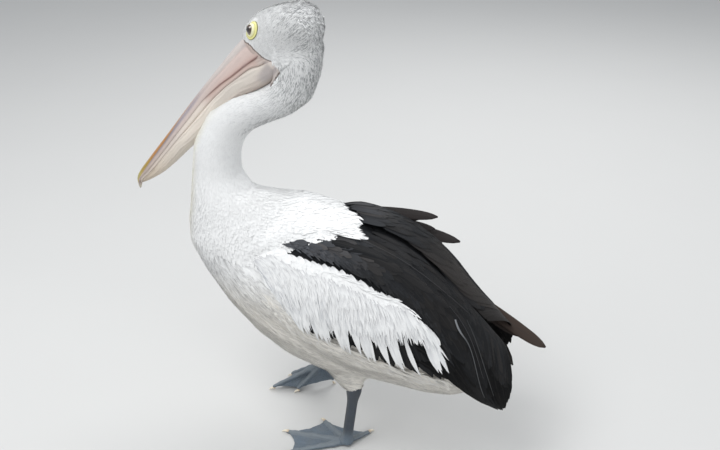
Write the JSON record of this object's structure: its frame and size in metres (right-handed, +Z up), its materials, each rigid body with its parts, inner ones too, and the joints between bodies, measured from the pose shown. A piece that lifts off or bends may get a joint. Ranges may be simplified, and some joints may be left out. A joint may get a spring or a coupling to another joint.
{
  "type": "standing pelican",
  "caption": "Standing pelican at life size, neck in an S, bill lowered, wings folded, one foot flat and the other stepping.",
  "frame": {"origin": "bottom centre of the whole bird's box, on the floor under the body", "axes": "+Z up, the bird faces -Y, its left side is +X"},
  "size_m": [0.3052, 0.8624, 0.8835],
  "materials": {
    "white_feathers": "matte feathers",
    "cream_feathers": "matte long body feathers",
    "grey_feathers": "matte grey-streaked feathers",
    "black_feathers": "soft satin feathers",
    "bill": "satin horn",
    "pouch": "satin bare skin",
    "eye": "wet gloss",
    "leg_skin": "matte scaly skin",
    "claws": "satin horn"
  },
  "bodies": {
    "root": {"head": "white_feathers", "neck_upper": "grey_feathers", "neck_middle": "white_feathers", "neck_lower": "white_feathers", "breast": "cream_feathers", "mantle": "white_feathers", "belly": "cream_feathers", "tail": "black_feathers", "upper_bill": "bill", "lower_bill": "bill", "pouch": "pouch", "left_eye": "eye", "left_coverts": "white_feathers", "left_scapulars": "black_feathers", "left_secondaries": "black_feathers", "left_primaries": "black_feathers", "left_thigh": "cream_feathers", "left_shank": "leg_skin", "left_foot": "leg_skin", "left_hind_claw": "claws", "left_inner_claw": "claws", "left_middle_claw": "claws", "left_outer_claw": "claws", "right_eye": "eye", "right_coverts": "white_feathers", "right_scapulars": "black_feathers", "right_secondaries": "black_feathers", "right_primaries": "black_feathers", "right_thigh": "cream_feathers", "right_shank": "leg_skin", "right_foot": "leg_skin", "right_hind_claw": "claws", "right_inner_claw": "claws", "right_middle_claw": "claws", "right_outer_claw": "claws"}
  },
  "joints": []
}
